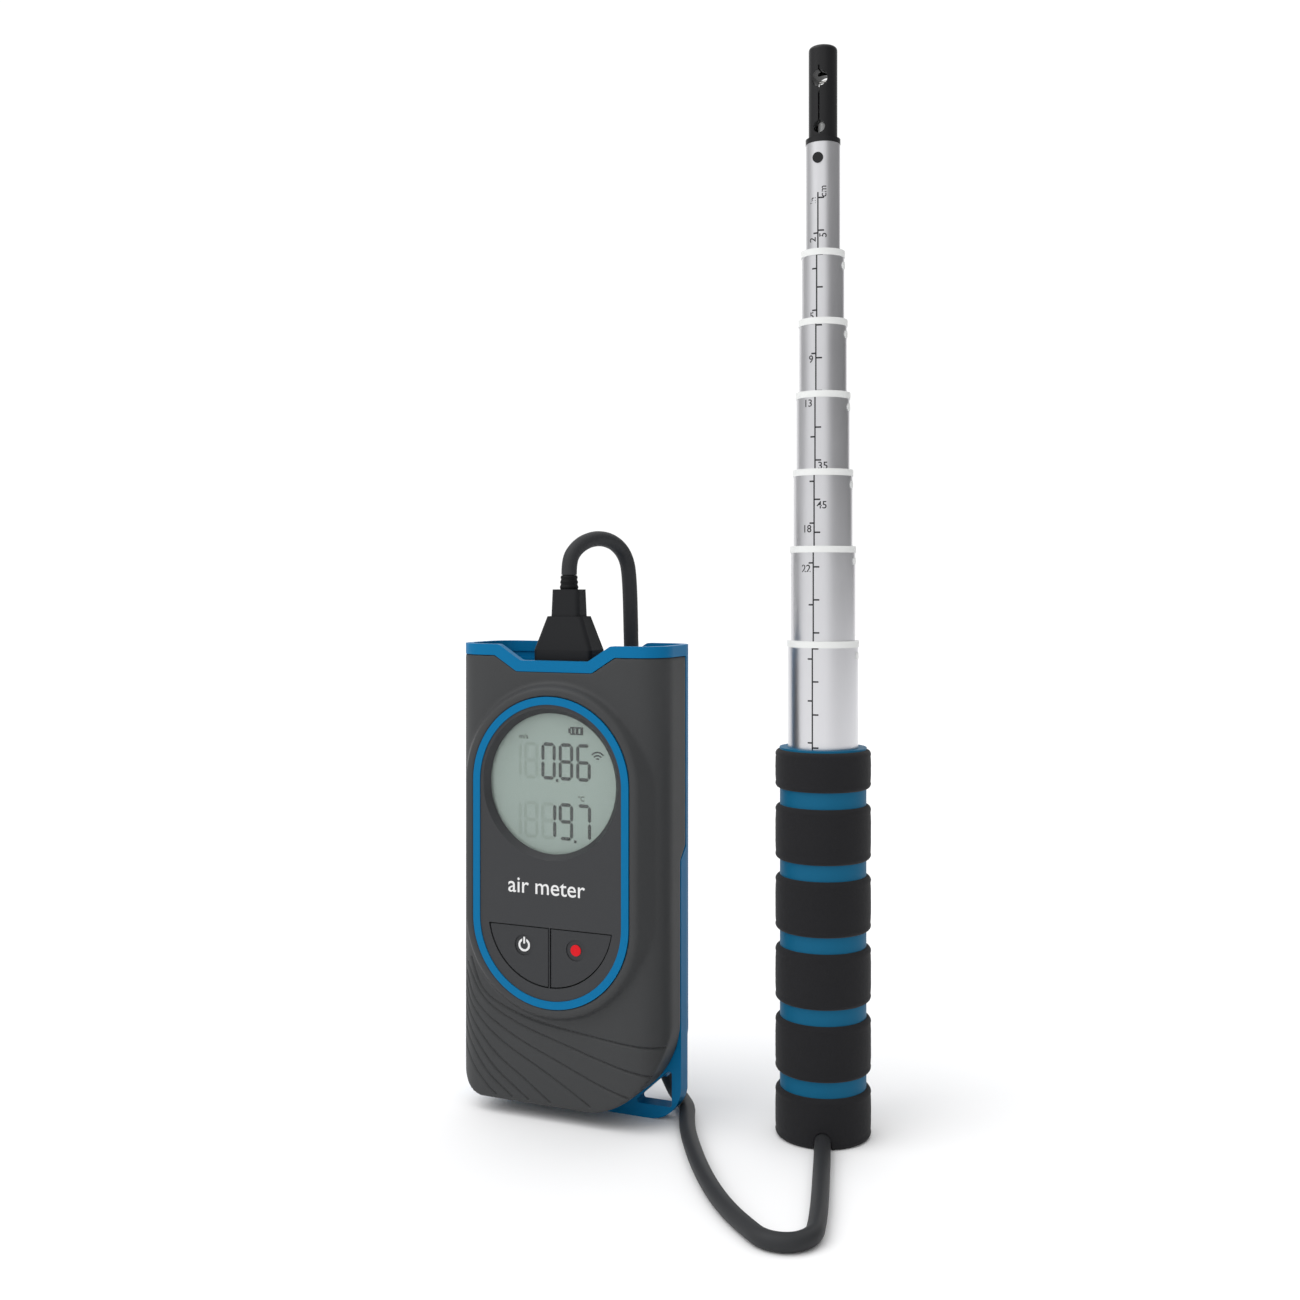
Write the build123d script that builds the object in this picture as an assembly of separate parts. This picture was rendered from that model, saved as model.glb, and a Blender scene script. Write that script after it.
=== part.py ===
from build123d import *
import math
import os

# Handheld weather meter: a thermo-anemometer case and its telescopic hot-wire wand, joined by a
# free cord. Millimetres, +Z up, +Y to the back. Both stand on z = 0; the origin is under the middle.

# ---- driving dimensions -------------------------------------------------------------------------
CASE_W = 73.0            # case width, depth and height
CASE_T = 33.0
CASE_H = 150.5
AXIS_SPACING = 79.9      # from the middle of the case to the axis of the wand, along X
WAND_BACK = 13.3         # and how far the wand stands further back
GRIP_D = 29.5            # foam grip diameter
HANDLE_H = 118.9         # height of the wand's handle

WALL = 2.2               # case wall
SIDE_DROP = 2.0          # how far the face falls back towards the sides, and over what width
SIDE_WIDTH = 12.0
BEZEL_LIFT = 3.0         # how far the raised bezel stands in front of the case face
CORNER_LEFT = 12.0       # lower left corner radius, seen from the front
CORNER_RIGHT = 28.0      # lower right corner radius of the front shell, cut back for the loop
CORNER_LOOP = 11.0       # lower right corner radius of the loop
CORNER_REAR = 36.0       # the same corner behind the loop
LIFT = 4.6               # how far the front shell ends above the foot of the back shell
LOOP_T = 5.6             # depth of the loop
RIM_H = 3.5              # height of the coloured rim band
NOTCH_SOFT = 1.8         # corner radius along the rim's notches
RING_W = 54.8            # coloured ring on the bezel: outer width, outer height, band
RING_H = 97.8
RING_BAND = 2.5
RING_Z = 85.6            # height of the ring's middle
LIP = 2.5                # width of the bezel's flat lip outside the ring
DISPLAY_D = 44.3
DISPLAY_Z = 107.0
LCD_R = 22.7
WINDOW_T = 0.85           # the window ends a little in front of the display
KEY_R = 21.6             # half disc that holds the two keys
KEY_TOP_Z = 61.8
KEY_ARC_Z = 65.1
KEY_X = 9.1              # middle of each key's symbol and switch
KEY_Z = 55.9
CELL_D = 10.5            # AAA cells
CELL_L = 44.5
CELL_COUNT = 4
CORD_D = 5.0
PLUG_Y = -2.6            # plug axis, measured from the middle of the case
RELIEF_TOP = 172.7       # where the cord leaves the plug's strain relief
GLAND_FOOT = 14.0        # where the cord enters the gland inside the handle's foot
BASE_TOP = 18.0
CORD_AZIMUTH = 16.5      # direction in which the cord leaves the handle, round from the front

TUBE_D = [21.6, 19.8, 18.1, 16.3, 14.6, 13.0, 10.5]              # outer tube first
TUBE_TOP = [152.4, 181.4, 204.9, 228.7, 251.1, 272.3, 305.3]     # tops of the tubes as set
TUBE_WALL = 0.45
TUBE_L = 123.0           # length of each sliding tube but the last
LAST_TUBE_L = 96.0
OUTER_TUBE_L = 126.4
COLLAR_H = 2.0
SKIRT_H = 5.9            # how far a collar reaches down inside its tube
BUSH_H = 5.0
HEAD_SCREW_D = 3.3
HEAD_D = 8.8
HEAD_TOP = 335.5
GROOVE = 4.9             # gap between two foam rings
GROOVE_PITCH = 21.7
RUNNING = 0.05           # radial clearance of a sliding fit
LOOSE = 0.15             # clearance between pieces that only sit together

TOTAL_W = CASE_W / 2 + AXIS_SPACING + GRIP_D / 2
TOTAL_T = CASE_T / 2 + WAND_BACK + GRIP_D / 2
CASE_X = CASE_W / 2 - TOTAL_W / 2
CASE_Y = CASE_T / 2 - TOTAL_T / 2
WAND_X = CASE_X + AXIS_SPACING
WAND_Y = CASE_Y + WAND_BACK
CASE_PLACE = (CASE_X, CASE_Y)
WAND_PLACE = (WAND_X, WAND_Y)

FRONT = -CASE_T / 2                  # ring plane
BACK = CASE_T / 2
FACE = FRONT + BEZEL_LIFT            # flat face of the case around the bezel
PART_LOW = 3.4                       # where front and back shells meet, below and above STEP_Z
PART_HIGH = 7.5
STEP_Z = 82.7
PANEL_BACK = FRONT + 2.4
BOARD_FRONT = FRONT + 8.0
BOARD_BACK = FRONT + 9.6
POCKET_FLOOR = 132.2
SCREW_D = 2.4
SCREW_GRIP = 2.4                     # how deep a case screw bites into the front shell
SCREWS = [(x, z) for x in (-27.0, 27.0) for z in (30.0, 116.0)]

os.makedirs("parts", exist_ok=True)


def save(shape, name, place=(0.0, 0.0)):
    """Write one node, moved from its own middle or axis to its place in the shared frame."""
    export_step(Pos(*place, 0) * shape, f"parts/{name}.step")


def box(x0, x1, y0, y1, z0, z1):
    """A box between six planes."""
    middle = Pos((x0 + x1) / 2, (y0 + y1) / 2, (z0 + z1) / 2)
    return middle * Box(x1 - x0, y1 - y0, z1 - z0)


def upright(radius, z0, z1, x=0.0, y=0.0):
    """A vertical cylinder between two heights."""
    return Pos(x, y, (z0 + z1) / 2) * Cylinder(radius, z1 - z0)


def pipe(outer, inner, z0, z1):
    """A vertical tube of two radii."""
    return upright(outer, z0, z1) - upright(inner, z0 - 1, z1 + 1)


def rod_y(radius, y0, y1, x, z):
    """A cylinder along Y."""
    return Pos(x, (y0 + y1) / 2, z) * Rot(90, 0, 0) * Cylinder(radius, y1 - y0)


def front_face(sketch, y0, y1):
    """Extrude an XZ outline, drawn as seen from the front, from y0 back to y1."""
    plane = Plane(origin=(0, y0, 0), x_dir=(1, 0, 0), z_dir=(0, -1, 0))
    return extrude(plane * sketch, amount=y1 - y0, dir=(0, 1, 0))


def stadium(width, height, z):
    """An upright stadium outline about the middle of the case."""
    return Pos(0, z) * SlotOverall(height, width, rotation=90)


# ---- case ---------------------------------------------------------------------------------------
def plan(inset):
    """Plan of the case: soft front corners, rounder back corners."""
    half = CASE_W / 2
    outline = Polygon(
        (-half, BACK),
        (-half, FACE + SIDE_DROP),
        (-half + SIDE_WIDTH, FACE),
        (half - SIDE_WIDTH, FACE),
        (half, FACE + SIDE_DROP),
        (half, BACK),
        align=None,
    )
    corners = outline.vertices().sort_by(Axis.Y)
    outline = fillet(corners[4:], 9.0)
    corners = outline.vertices().sort_by(Axis.Y)
    outline = fillet(corners[2:4], 10.0)
    corners = outline.vertices().sort_by(Axis.Y)
    outline = fillet(corners[:2], 28.0)
    return offset(outline, -inset) if inset else outline


def front_outline(left, right, foot):
    """Front view of the case: its foot height and its two lower corner radii."""
    half = CASE_W / 2
    outline = Polygon((-half, foot), (half, foot), (half, CASE_H), (-half, CASE_H), align=None)
    low = outline.vertices().sort_by(Axis.Y)[:2].sort_by(Axis.X)
    outline = fillet(low[0], left)
    low = outline.vertices().sort_by(Axis.Y)[:2].sort_by(Axis.X)
    return fillet(low[-1], right)


def side_outline(foot, inset):
    """Side view of the case, rounded under at the front and a little at the back."""
    y0 = FRONT - 1 + inset
    y1 = BACK - inset
    outline = Polygon((y0, foot), (y1, foot), (y1, CASE_H), (y0, CASE_H), align=None)
    low = outline.vertices().sort_by(Axis.Y)[:2].sort_by(Axis.X)
    outline = fillet(low[0], 7.0 - inset)
    low = outline.vertices().sort_by(Axis.Y)[:2].sort_by(Axis.X)
    return fillet(low[-1], 3.0)


def form(right, foot):
    """The outer form of the case with a given lower right corner and foot height."""
    body = extrude(plan(0.0), amount=CASE_H, dir=(0, 0, 1))
    body &= front_face(front_outline(CORNER_LEFT, right, foot), FRONT - 2, BACK + 2)
    side = Plane(origin=(-CASE_W, 0, 0), x_dir=(0, 1, 0), z_dir=(1, 0, 0)) * side_outline(foot, 0.0)
    return body & extrude(side, amount=2 * CASE_W, dir=(1, 0, 0))


def cavity():
    """The hollow of the case, one wall inside the front shell's form."""
    body = extrude(plan(WALL), amount=CASE_H, dir=(0, 0, 1))
    outline = offset(front_outline(CORNER_LEFT, CORNER_RIGHT, LIFT), -WALL)
    body &= front_face(outline, FRONT - 2, BACK + 2)
    plane = Plane(origin=(-CASE_W, 0, 0), x_dir=(0, 1, 0), z_dir=(1, 0, 0))
    side = plane * side_outline(LIFT + WALL, WALL)
    body &= extrude(side, amount=2 * CASE_W, dir=(1, 0, 0))
    return body + extrude(Pos(0, 0, POCKET_FLOOR - 2) * plan(WALL), amount=CASE_H)


def bezel():
    """Raised stadium around the ring, with sloping flanks."""
    top = stadium(RING_W + 2 * LIP, RING_H + 2 * LIP, RING_Z)
    plane = Plane(origin=(0, FRONT, 0), x_dir=(1, 0, 0), z_dir=(0, -1, 0))
    raised = extrude(plane * top, amount=-7.0, taper=-30)
    raised = fillet(raised.faces().sort_by(Axis.Y)[0].edges(), 1.6)
    limit = box(-CASE_W / 2, CASE_W / 2, FRONT - 1, 0, 0, CASE_H)
    return raised & limit


def parting(front_side):
    """The space in front of, or behind, the stepped line where the two shells meet."""
    far = 40.0
    line = [(PART_LOW, -1), (PART_LOW, STEP_Z), (PART_HIGH, STEP_Z + 4), (PART_HIGH, CASE_H + 1)]
    edge = -far if front_side else far
    outline = Polygon(*line, (edge, CASE_H + 1), (edge, -1), align=None)
    plane = Plane(origin=(-CASE_W, 0, 0), x_dir=(0, 1, 0), z_dir=(1, 0, 0))
    return extrude(plane * outline, amount=2 * CASE_W, dir=(1, 0, 0))


def rim_outline(top_half, low_half, depth, drop):
    """XZ outline below the rim line, with its notch; drop lowers the whole line."""
    top = CASE_H - drop
    slant = drop * 0.4
    outline = Polygon(
        (-CASE_W, -10),
        (CASE_W, -10),
        (CASE_W, top),
        (top_half + slant, top),
        (low_half + slant, top - depth),
        (-low_half - slant, top - depth),
        (-top_half - slant, top),
        (-CASE_W, top),
        align=None,
    )
    notch = outline.vertices().filter_by(lambda v: abs(v.X) < CASE_W / 2)
    return fillet(notch, NOTCH_SOFT)


def below_rim(drop):
    """Everything under the rim line, which dips in a notch at the front and at the back."""
    front = front_face(rim_outline(19.8, 11.9, 5.0, drop), FRONT - 5, 0)
    back = front_face(rim_outline(20.0, 14.0, 4.0, drop), 0, BACK + 5)
    return front + back


def make_front_shell():
    shell = form(CORNER_RIGHT, LIFT) + bezel() - cavity()
    shell &= parting(True)
    shell &= below_rim(RIM_H)
    shell -= front_face(stadium(RING_W, RING_H, RING_Z), FRONT - 1, PANEL_BACK)
    shell -= front_face(stadium(RING_W - 6.5, RING_H - 6.8, RING_Z), FRONT - 1, 0)
    for x, z in SCREWS:
        shell += rod_y(2.5, FACE + WALL - 1, BOARD_FRONT, x, z)
        shell -= rod_y(SCREW_D / 2, BOARD_FRONT - SCREW_GRIP, BOARD_FRONT + 1, x, z)
    return shell


def make_back_shell():
    """Coloured back shell, with the lanyard loop that fills its cut-back corner."""
    loop_back = PART_LOW + LOOP_T
    shell = form(CORNER_LOOP, 0.0) & box(-CASE_W, CASE_W, 0, loop_back, -1, CASE_H)
    shell += form(CORNER_REAR, 0.0) & box(-CASE_W, CASE_W, loop_back, BACK, -1, CASE_H)
    shell -= cavity()
    shell &= parting(False)
    shell &= below_rim(RIM_H)
    shell -= front_face(loop_hole(), FRONT - 1, BACK + 1)
    shell += box(-28.0, 28.0, BACK - 5.0, BACK - WALL + 0.5, 11.0, 75.0)
    shell -= box(-22.6, 22.6, 0, BACK + 1, 15.0, 71.0)
    shell -= box(-23.5, 23.5, BACK - WALL, BACK + 1, 14.0, 72.0)
    for x, z in SCREWS:
        shell += rod_y(3.2, BOARD_BACK, BACK - 0.5, x, z)
        shell -= rod_y(SCREW_D / 2 + LOOSE, BOARD_BACK - 1, BACK, x, z)
        shell -= rod_y(2.6, BACK - 2.0, BACK + 1, x, z)
    return shell


def loop_hole():
    """Three-cornered hole of the lanyard loop, seen from the front."""
    right = CASE_W / 2 - 3.2
    hole = Polygon((right - 13.5, 4.4), (right, 4.4), (right, 16.8), align=None)
    return fillet(hole.vertices(), 0.9)


def make_top_rim():
    """Coloured rim and the pocket that takes the plug."""
    band = extrude(plan(0.0), amount=CASE_H) - extrude(plan(2.6), amount=CASE_H + 1)
    band &= below_rim(0.0)
    band -= below_rim(RIM_H)
    liner = extrude(Pos(0, 0, POCKET_FLOOR - 1.5) * plan(WALL), amount=CASE_H - POCKET_FLOOR - 4.0)
    liner -= extrude(Pos(0, 0, POCKET_FLOOR) * plan(WALL + 1.2), amount=CASE_H)
    liner &= below_rim(1.0)
    rim = band + liner
    return rim - box(-8.2, 8.2, BOARD_BACK - LOOSE, PLUG_Y + 4.2, 100, 140)


def make_accent_ring():
    outer = stadium(RING_W - 0.1, RING_H - 0.1, RING_Z)
    inner = stadium(RING_W - 2 * RING_BAND, RING_H - 2 * RING_BAND, RING_Z)
    return front_face(outer - inner, FRONT, PANEL_BACK)


def key_half(side, grow):
    """One key outline: the left or right half of the half disc."""
    disc = Pos(0, KEY_ARC_Z) * Circle(KEY_R + grow)
    edge = 0.45 - grow
    x0, x1 = (edge, 40.0) if side > 0 else (-40.0, -edge)
    top = KEY_TOP_Z + grow
    window = Polygon((x0, 0), (x1, 0), (x1, top), (x0, top), align=None)
    outline = disc & window
    return outline


def make_front_panel():
    width = RING_W - 2 * RING_BAND - 0.1
    height = RING_H - 2 * RING_BAND - 0.1
    panel = front_face(stadium(width, height, RING_Z), FRONT + 0.3, PANEL_BACK)
    cone = Cone(DISPLAY_D / 2, DISPLAY_D / 2 + 2.0, 2.4)
    panel -= Pos(0, FRONT + 1.1, DISPLAY_Z) * Rot(90, 0, 0) * cone
    panel -= rod_y(DISPLAY_D / 2, FRONT - 1, 0, 0, DISPLAY_Z)
    for side in (-1, 1):
        panel -= front_face(key_half(side, 0.3), FRONT - 1, 0)
    return panel


def make_key(side):
    """Key cap with a back flange and a stem over its switch."""
    cap = front_face(key_half(side, 0.0), FRONT + 0.45, PANEL_BACK + 0.65)
    cap = fillet(cap.faces().sort_by(Axis.Y)[0].edges(), 0.25)
    x = side * KEY_X
    stem = rod_y(1.6, PANEL_BACK, BOARD_FRONT - 4.2, x, KEY_Z)
    dish = rod_y(3.3, FRONT, FRONT + 0.8, x, KEY_Z)
    return cap + stem - dish


def make_power_symbol():
    """Ring and bar inlaid in the left key."""
    ring = Circle(2.05) - Circle(1.4) - Pos(0, 1.8) * Rectangle(1.5, 2.2)
    bar = Pos(0, 1.5) * Rectangle(0.6, 2.1)
    return front_face(Pos(-KEY_X, KEY_Z) * (ring + bar), FRONT + 0.55, FRONT + 0.8)


def make_record_dot():
    return rod_y(1.75, FRONT + 0.5, FRONT + 0.8, KEY_X, KEY_Z)


def make_display_window():
    return rod_y(DISPLAY_D / 2 + 1.1, PANEL_BACK, PANEL_BACK + WINDOW_T, 0, DISPLAY_Z)


def make_lcd_module():
    return rod_y(LCD_R, PANEL_BACK + 1.0, PANEL_BACK + 3.2, 0, DISPLAY_Z)


def make_lcd_holder():
    """Frame that carries the display and its light guide in front of the board."""
    frame = rod_y(LCD_R + 0.8, PANEL_BACK + 1.2, BOARD_FRONT, 0, DISPLAY_Z)
    frame -= rod_y(LCD_R, -20, PANEL_BACK + 3.2, 0, DISPLAY_Z)
    for z in (DISPLAY_Z - 17.5, DISPLAY_Z + 17.5):
        frame -= box(-12.1, 12.1, -20, 0, z - 1.1, z + 1.1)
    return frame


def make_contact_strips():
    """Two elastic strips from the board to the display."""
    strips = []
    for z in (DISPLAY_Z - 17.5, DISPLAY_Z + 17.5):
        strips.append(box(-12.0, 12.0, PANEL_BACK + 3.2, BOARD_FRONT, z - 1.0, z + 1.0))
    return Compound(strips)


def make_main_board():
    board = box(-30.0, 30.0, BOARD_FRONT, BOARD_BACK, 24.0, 128.0)
    for x, z in SCREWS:
        board -= rod_y(SCREW_D / 2 + LOOSE, -20, 0, x, z)
    return board


def make_board_chips():
    """Controller, radio module in its can, crystal and memory on the board."""
    chips = [
        box(-7.0, 7.0, BOARD_BACK, BOARD_BACK + 1.2, 84.0, 98.0),
        box(9.5, 22.5, BOARD_BACK, BOARD_BACK + 2.2, 90.0, 112.0),
        box(-24.0, -16.0, BOARD_BACK, BOARD_BACK + 1.0, 90.0, 96.0),
        box(-14.0, -11.0, BOARD_BACK, BOARD_BACK + 3.0, 76.0, 86.0),
    ]
    return Compound(chips)


def make_key_switches():
    switches = []
    for side in (-1, 1):
        x = side * KEY_X
        switches.append(box(x - 3, x + 3, BOARD_FRONT - 2.4, BOARD_FRONT, KEY_Z - 3, KEY_Z + 3))
        switches[-1] += rod_y(1.4, BOARD_FRONT - 3.4, BOARD_FRONT - 2.4, x, KEY_Z)
    return Compound(switches)


def make_probe_socket():
    """Socket in the pocket floor, soldered to the back of the board."""
    body = box(-8.0, 8.0, BOARD_BACK, PLUG_Y + 4.0, 117.0, POCKET_FLOOR + 0.8)
    return body - box(-6.1, 6.1, PLUG_Y - 2.3, PLUG_Y + 2.3, 121.0, 140.0)


def cell_places():
    pitch = CELL_D + 0.5
    return [pitch * (i - (CELL_COUNT - 1) / 2) for i in range(CELL_COUNT)]


def make_battery_tray():
    tray = box(-22.5, 22.5, -0.5, 12.9, 16.0, 70.0)
    for x in cell_places():
        tray -= upright(CELL_D / 2 + 0.2, 18.0, 68.0, x, 6.4)
        tray -= box(x - 4.6, x + 4.6, 6.4, 14, 18.0, 68.0)
    return tray


def make_batteries():
    cells = []
    for i, x in enumerate(cell_places()):
        low, high = 21.0, 21.0 + CELL_L
        cell = upright(CELL_D / 2, low + 0.9, high - 0.9, x, 6.4)
        cell = chamfer(cell.edges().filter_by(GeomType.CIRCLE), 0.4)
        ends = (high - 0.9, high) if i % 2 == 0 else (low, low + 0.9)
        cells.append(cell + upright(1.9, ends[0], ends[1], x, 6.4))
    return Compound(cells)


def make_battery_contacts():
    """A spring cup at one end of each cell and a plate at the other."""
    contacts = []
    for i, x in enumerate(cell_places()):
        spring_low = i % 2 == 0
        z0, z1 = (18.0, 21.9) if spring_low else (64.6, 68.0)
        contacts.append(Pos(x, 6.4, (z0 + z1) / 2) * Cone(3.6, 2.2, z1 - z0))
        z0, z1 = (65.5, 68.0) if spring_low else (18.0, 21.0)
        contacts.append(box(x - 3.5, x + 3.5, 4.0, 9.0, z0, z1))
    return Compound(contacts)


def make_battery_cover():
    """Cover in the back, with a thumb grip."""
    cover = box(-23.3, 23.3, BACK - WALL, BACK, 14.2, 71.8)
    cover = fillet(cover.edges().filter_by(Axis.Y), 2.0)
    for i in range(4):
        cover -= box(-8.0, 8.0, BACK - 0.6, BACK + 1, 60.0 + 2.4 * i, 61.2 + 2.4 * i)
    return cover


def make_case_screws():
    """Four pan-head screws through the back shell into the front shell's posts."""
    screws = []
    for x, z in SCREWS:
        head = rod_y(2.3, BACK - 2.0, BACK - 0.4, x, z)
        head -= box(x - 1.2, x + 1.2, BACK - 1.0, BACK, z - 0.3, z + 0.3)
        screws.append(head + rod_y(SCREW_D / 2, BOARD_FRONT - SCREW_GRIP, BACK - 2.0, x, z))
    return Compound(screws)


# ---- plug and cord ------------------------------------------------------------------------------
def make_plug_hood():
    """Moulded hood: wide in the pocket, tapering shoulders, then a plain neck."""
    wide = Pos(0, PLUG_Y, 148.7) * RectangleRounded(20.5, 11.0, 1.6)
    mid = Pos(0, PLUG_Y, 159.4) * RectangleRounded(12.5, 8.5, 1.6)
    low = Pos(0, PLUG_Y, POCKET_FLOOR + 1.0) * RectangleRounded(20.5, 11.0, 1.6)
    hood = extrude(low, amount=148.7 - POCKET_FLOOR - 1.0) + loft([wide, mid])
    neck = Pos(0, PLUG_Y, 159.4) * RectangleRounded(10.2, 7.4, 1.6)
    top = Pos(0, PLUG_Y, 168.0) * RectangleRounded(9.6, 6.9, 1.6)
    return hood + loft([neck, top])


def make_plug_contact():
    shell = box(-6.0, 6.0, PLUG_Y - 2.2, PLUG_Y + 2.2, 122.0, POCKET_FLOOR + 1.0)
    return fillet(shell.edges().filter_by(Axis.Z), 0.6)


def make_plug_strain_relief():
    body = upright(3.1, 168.0, RELIEF_TOP, 0, PLUG_Y)
    for i in range(2):
        z = 169.2 + 1.6 * i
        body -= Pos(0, PLUG_Y, z + 0.35) * (Cylinder(4, 0.7) - Cylinder(2.75, 0.8))
    return body


def wand_cord_route():
    """Centreline, from the plug, down behind the case and over the floor to the wand."""
    lay = CORD_D / 2 + 0.05
    x, y = CASE_PLACE
    return [
        (x, y + PLUG_Y, RELIEF_TOP),
        (x, y + PLUG_Y, 176.5),
        (x + 0.6, y - 0.9, 180.2),
        (x + 2.4, y + 3.8, 183.6),
        (x + 4.8, y + 10.2, 184.9),
        (x + 7.2, y + 16.6, 183.4),
        (x + 9.0, y + 21.3, 179.0),
        (x + 9.6, y + 23.0, 172.0),
        (x + 10.0, y + 23.3, 150.0),
        (x + 10.4, y + 23.4, 128.0),
        (x + 10.8, y + 23.3, 100.0),
        (x + 11.4, y + 23.3, 72.0),
        (x + 12.6, y + 23.5, 46.0),
        (x + 14.8, y + 24.0, 27.0),
        (x + 21.2, y + 24.4, 10.6),
        (x + 26.4, y + 21.4, lay + 1.0),
        (x + 31.6, y + 16.4, lay),
        (x + 36.2, y + 9.8, lay),
        (x + 38.8, y + 2.4, lay),
        (x + 43.7, y - 8.6, lay),
        (x + 50.0, y - 20.0, lay),
        (x + 56.5, y - 31.0, lay),
        (x + 63.2, y - 41.2, lay),
        (x + 70.0, y - 50.4, lay),
        (x + 77.0, y - 58.4, lay),
        (x + 83.8, y - 64.7, lay),
        (x + 89.9, y - 69.9, lay),
        (x + 97.3, y - 69.2, lay),
        (x + 101.3, y - 63.0, lay),
        (x + 99.6, y - 54.6, lay),
        (x + 97.0, y - 44.6, lay),
        (x + 94.1, y - 34.4, lay),
        (x + 91.1, y - 24.2, lay),
        (x + 88.2, y - 14.2, lay),
        (x + 85.3, y - 4.6, lay),
        (x + 82.6, y + 4.2, lay),
        (WAND_X, WAND_Y, 5.0),
        (WAND_X, WAND_Y, GLAND_FOOT),
    ]


def corner_radii(points):
    """The largest arc that the two runs beside each corner allow."""
    radii = []
    for before, here, after in zip(points, points[1:], points[2:]):
        came = Vector(*here) - Vector(*before)
        goes = Vector(*after) - Vector(*here)
        turn = math.radians(came.get_angle(goes))
        radii.append(0.45 * min(came.length, goes.length) / math.tan(turn / 2))
    return radii


def make_tube(points, diameter, label):
    """A cord of straight runs joined by tangent arcs."""
    radii = corner_radii(points)
    path = FilletPolyline(*points, radius=radii)
    start = Plane(origin=path @ 0, z_dir=path % 0)
    tube = sweep(start * Circle(diameter / 2), path=path)
    section = math.pi * diameter ** 2 / 4
    ratio = tube.volume / section / path.length
    print(label, "length", round(path.length, 1), "volume ratio", round(ratio, 4))
    print(label, "radii", [round(r, 1) for r in radii])
    return tube


# ---- wand ---------------------------------------------------------------------------------------
def grip_bands():
    """Bottom and top of each foam ring, from the bottom."""
    bands = [(0.0, 15.2)]
    for i in range(4):
        low = 20.0 + GROOVE_PITCH * i
        bands.append((low, low + GROOVE_PITCH - GROOVE))
    bands.append((HANDLE_H - 12.0, HANDLE_H))
    return bands


def cord_notch():
    """Groove in the foot of the handle that lets the cord out over the floor."""
    return Rot(0, 0, CORD_AZIMUTH) * box(-4.2, 4.2, -20, 0, -1, 5.8)


def make_grip_ring(low, high):
    ring = pipe(GRIP_D / 2, 11.9, low, high)
    outer = ring.edges().filter_by(GeomType.CIRCLE).sort_by(SortBy.RADIUS)[-2:]
    ring = fillet(outer, 1.2)
    return ring - cord_notch() if low == 0.0 else ring


def make_handle_core():
    """Coloured sleeve under the foam, proud in the grooves, that holds the outer tube."""
    core = upright(11.9, BASE_TOP, HANDLE_H)
    bands = grip_bands()
    for below, above in zip(bands, bands[1:]):
        core += pipe(13.3, 11.9, below[1], above[0])
    core -= upright(TUBE_D[0] / 2, TUBE_TOP[0] - OUTER_TUBE_L, HANDLE_H + 1)
    core -= upright(7.0, 0, 40)
    return core + pipe(13.4, TUBE_D[0] / 2, HANDLE_H, HANDLE_H + 0.6)


def make_handle_base():
    """Foot of the handle, hollow below so that the cord can turn out under it."""
    base = upright(11.9, GLAND_FOOT, BASE_TOP) + pipe(11.9, 9.0, 0.8, GLAND_FOOT)
    return base - upright(3.4, 0, 40) - cord_notch()


def make_cord_gland():
    return upright(3.4, GLAND_FOOT, BASE_TOP) + upright(5.0, BASE_TOP, BASE_TOP + 4.0)


def tube_bore(index):
    return TUBE_D[index] / 2 - TUBE_WALL


def tab(index, reach):
    """Place of the collar's locking tab, a short way under the top of a tube."""
    return Pos(reach / 2, 0, TUBE_TOP[index] - 4.6) * Rot(0, 90, 0) * Cylinder(1.2, reach)


def make_tube_stage(index):
    top = TUBE_TOP[index]
    last = index == len(TUBE_D) - 1
    length = LAST_TUBE_L if last else TUBE_L
    length = OUTER_TUBE_L if index == 0 else length
    if last:
        tube = pipe(TUBE_D[index] / 2, tube_bore(index), top - length, top)
        return tube - rod_y(HEAD_SCREW_D / 2, -10, 0, 0, top - 5.0)
    tube = pipe(TUBE_D[index] / 2, tube_bore(index), top - length, top - COLLAR_H / 2)
    return tube - tab(index, 20.0)


def make_collar(index):
    """White collar on the top of a tube, in which the next tube slides, with its locking tab."""
    top = TUBE_TOP[index]
    tube_r = TUBE_D[index] / 2
    next_r = TUBE_D[index + 1] / 2
    collar = pipe(tube_r + 0.25, next_r + RUNNING, top - COLLAR_H, top)
    collar -= pipe(tube_r, tube_bore(index), top - COLLAR_H - 1, top - COLLAR_H / 2)
    collar += pipe(tube_bore(index), next_r + RUNNING, top - SKIRT_H, top - COLLAR_H / 2)
    lock = tab(index, 20.0) & pipe(tube_r + 0.3, tube_bore(index) - 0.1, top - 8, top - 2)
    return collar + lock


def make_bush(index):
    """Guide on the foot of a sliding tube."""
    length = LAST_TUBE_L if index == len(TUBE_D) - 1 else TUBE_L
    low = TUBE_TOP[index] - length
    outer = tube_bore(index - 1) - RUNNING
    bush = pipe(outer, TUBE_D[index] / 2, low, low + BUSH_H)
    return bush


def make_sensor_head():
    """Black head: foot ring, spigot, barrel with its two cross windows."""
    base = TUBE_TOP[-1]
    inner = tube_bore(6)
    head = upright(HEAD_D / 2 + 0.95, base, base + 1.6)
    head += upright(inner, base - 10.0, base)
    head += upright(HEAD_D / 2, base + 1.6, HEAD_TOP - 5.5)
    head -= rod_y(2.5, -9, 9, 0, HEAD_TOP - 10.5)
    head -= rod_y(1.85, -9, 0, 0, HEAD_TOP - 25.4)
    head -= box(-0.25, 0.25, -9, 0, HEAD_TOP - 27.5, HEAD_TOP - 6.5)
    head -= upright(1.6, base - 11, HEAD_TOP - 5.0)
    return head


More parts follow.
